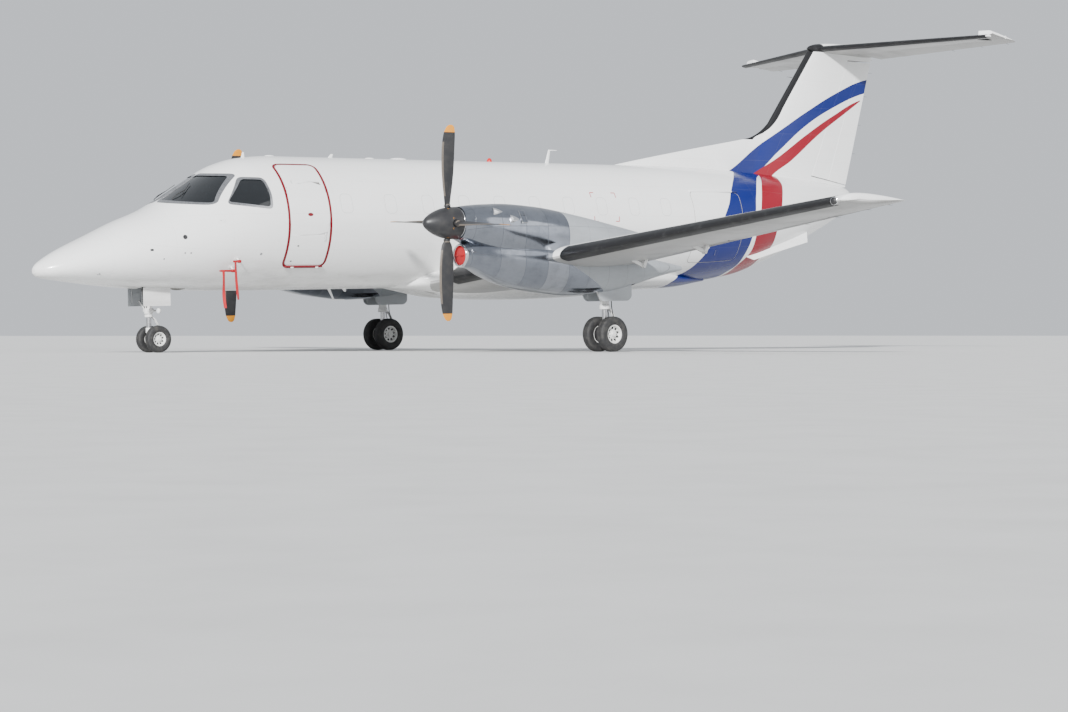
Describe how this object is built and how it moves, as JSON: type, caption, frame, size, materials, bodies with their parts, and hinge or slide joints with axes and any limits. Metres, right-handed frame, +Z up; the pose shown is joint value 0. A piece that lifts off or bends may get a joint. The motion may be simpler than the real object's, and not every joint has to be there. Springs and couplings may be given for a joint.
{
  "type": "turboprop airliner",
  "caption": "Parked T-tail commuter airliner with wing-mounted propellers, steering nose gear, main wheels, airstair and cargo doors, and hinged flight controls.",
  "frame": {"origin": "middle of the bounding box on the ground plane under the tyres", "axes": "+X forward along the length, +Y to port, +Z up"},
  "size_m": [19.8694, 19.78, 6.3257],
  "materials": {
    "white_paint": "gloss",
    "radome_shell": "gloss",
    "bare_metal": "polished",
    "grey_paint": "satin",
    "engine_block": "satin",
    "blade_paint": "satin",
    "wheel_metal": "satin",
    "tyre_rubber": "matte",
    "window_glass": "clear",
    "red_cover": "matte",
    "streamer_cloth": "woven",
    "chair_cloth": "woven",
    "panel_plastic": "matte"
  },
  "bodies": {
    "airframe": {"nose_fuselage": "white_paint", "centre_fuselage": "white_paint", "aft_fuselage": "white_paint", "belly_fairing": "white_paint", "fin": "white_paint", "tailplane": "white_paint", "ventral_fin_left": "white_paint", "ventral_fin_right": "white_paint", "wing_left": "white_paint", "wing_right": "white_paint", "nose_gear_door_left": "white_paint", "nose_gear_door_right": "white_paint", "main_gear_leg_left": "white_paint", "main_gear_leg_right": "white_paint", "nose_gear_leg": "white_paint", "radome": "radome_shell", "nacelle_left": "bare_metal", "nacelle_right": "bare_metal", "main_gear_door_outer_left": "grey_paint", "main_gear_door_outer_right": "grey_paint", "main_gear_door_inner_left": "grey_paint", "main_gear_door_inner_right": "grey_paint", "engine_left": "engine_block", "engine_right": "engine_block", "windshield_left": "window_glass", "windshield_right": "window_glass", "side_window_left": "window_glass", "side_window_right": "window_glass", "intake_cover_left": "red_cover", "intake_cover_right": "red_cover", "pitot_covers": "streamer_cloth", "cockpit_chair_left": "chair_cloth", "cockpit_chair_right": "chair_cloth", "instrument_panel": "panel_plastic"},
    "left_propeller": {"propeller_left": "blade_paint", "spinner_left": "blade_paint"},
    "right_propeller": {"propeller_right": "blade_paint", "spinner_right": "blade_paint"},
    "nose_steering": {"nose_gear_fork": "white_paint"},
    "nose_wheels": {"nose_wheel_hubs": "wheel_metal", "nose_tyre_left": "tyre_rubber", "nose_tyre_right": "tyre_rubber"},
    "main_wheels_left": {"main_left_wheel_hubs": "wheel_metal", "main_left_tyre_outboard": "tyre_rubber", "main_left_tyre_inboard": "tyre_rubber"},
    "main_wheels_right": {"main_right_wheel_hubs": "wheel_metal", "main_right_tyre_outboard": "tyre_rubber", "main_right_tyre_inboard": "tyre_rubber"},
    "airstair_door": {"passenger_door": "white_paint"},
    "freight_door": {"cargo_door": "white_paint"},
    "left_aileron": {"aileron_left": "white_paint"},
    "right_aileron": {"aileron_right": "white_paint"},
    "left_inner_flap": {"flap_inner_left": "white_paint"},
    "right_inner_flap": {"flap_inner_right": "white_paint"},
    "left_outer_flap": {"flap_outer_left": "white_paint"},
    "right_outer_flap": {"flap_outer_right": "white_paint"},
    "left_elevator": {"elevator_left": "white_paint"},
    "right_elevator": {"elevator_right": "white_paint"},
    "forward_rudder": {"rudder_forward": "white_paint"},
    "aft_rudder": {"rudder_aft": "white_paint"}
  },
  "joints": [
    {"name": "propeller_left", "type": "hinge", "parent": "airframe", "child": "left_propeller", "pos_m": [4.20249, 3.29, 2.11552], "axis": [0.9997, 0, -0.0256], "continuous": true},
    {"name": "propeller_right", "type": "hinge", "parent": "airframe", "child": "right_propeller", "pos_m": [4.20249, -3.29, 2.11552], "axis": [0.9997, 0, -0.0256], "continuous": true},
    {"name": "nose_steering", "type": "hinge", "parent": "airframe", "child": "nose_steering", "pos_m": [7.84778, 0, 0.63473], "axis": [0.0256, 0, 0.9997], "range_deg": [-50, 50]},
    {"name": "nose_wheels", "type": "hinge", "parent": "nose_steering", "child": "nose_wheels", "pos_m": [7.75519, 0, 0.2225], "axis": [0, 1, 0], "continuous": true},
    {"name": "main_wheels_left", "type": "hinge", "parent": "airframe", "child": "main_wheels_left", "pos_m": [0.78502, 3.29, 0.305], "axis": [0, 1, 0], "continuous": true},
    {"name": "main_wheels_right", "type": "hinge", "parent": "airframe", "child": "main_wheels_right", "pos_m": [0.78502, -3.29, 0.305], "axis": [0, 1, 0], "continuous": true},
    {"name": "passenger_door", "type": "hinge", "parent": "airframe", "child": "airstair_door", "pos_m": [5.3986, 0.876, 1.44068], "axis": [-0.9997, 0, 0.0256], "range_deg": [0, 130]},
    {"name": "cargo_door", "type": "hinge", "parent": "airframe", "child": "freight_door", "pos_m": [-3.97637, 0.94782, 3.04629], "axis": [0.9992, 0.0302, -0.0256], "range_deg": [0, 100]},
    {"name": "aileron_left", "type": "hinge", "parent": "airframe", "child": "left_aileron", "pos_m": [0.69676, 7.95, 2.10263], "axis": [0.0186, 0.9926, 0.12], "range_deg": [-20, 20]},
    {"name": "aileron_right", "type": "hinge", "parent": "airframe", "child": "right_aileron", "pos_m": [0.69676, -7.95, 2.10263], "axis": [-0.0186, 0.9926, -0.12], "range_deg": [-20, 20]},
    {"name": "flap_inner_left", "type": "hinge", "parent": "airframe", "child": "left_inner_flap", "pos_m": [0.77339, 2.055, 1.14133], "axis": [-0.0054, -0.9916, -0.129], "range_deg": [0, 45]},
    {"name": "flap_inner_right", "type": "hinge", "parent": "airframe", "child": "right_inner_flap", "pos_m": [0.77339, -2.055, 1.14133], "axis": [0.0054, -0.9916, 0.129], "range_deg": [0, 45]},
    {"name": "flap_outer_left", "type": "hinge", "parent": "airframe", "child": "left_outer_flap", "pos_m": [0.79017, 5.04, 1.54954], "axis": [-0.0054, -0.9916, -0.129], "range_deg": [0, 45]},
    {"name": "flap_outer_right", "type": "hinge", "parent": "airframe", "child": "right_outer_flap", "pos_m": [0.79017, -5.04, 1.54954], "axis": [0.0054, -0.9916, 0.129], "range_deg": [0, 45]},
    {"name": "elevator_left", "type": "hinge", "parent": "airframe", "child": "left_elevator", "pos_m": [-9.24224, 1.8, 6.19901], "axis": [-0.1949, 0.9808, 0.005], "range_deg": [0, 37]},
    {"name": "elevator_right", "type": "hinge", "parent": "airframe", "child": "right_elevator", "pos_m": [-9.24224, -1.8, 6.19901], "axis": [0.1949, 0.9808, -0.005], "range_deg": [0, 37]},
    {"name": "rudder_forward", "type": "hinge", "parent": "airframe", "child": "forward_rudder", "pos_m": [-8.11514, 0, 4.7947], "axis": [-0.4154, 0, 0.9097], "range_deg": [-15, 15]},
    {"name": "rudder_aft", "type": "hinge", "parent": "forward_rudder", "child": "aft_rudder", "pos_m": [-8.56891, 0, 4.80631], "axis": [-0.3515, 0, 0.9362], "range_deg": [-15, 15]}
  ],
  "couplings": [
    {"joint": "aileron_right", "follows": "aileron_left", "ratio": -1},
    {"joint": "elevator_right", "follows": "elevator_left", "ratio": 1},
    {"joint": "rudder_aft", "follows": "rudder_forward", "ratio": 1},
    {"joint": "flap_inner_right", "follows": "flap_inner_left", "ratio": 1},
    {"joint": "flap_outer_left", "follows": "flap_inner_left", "ratio": 1},
    {"joint": "flap_outer_right", "follows": "flap_inner_left", "ratio": 1}
  ]
}
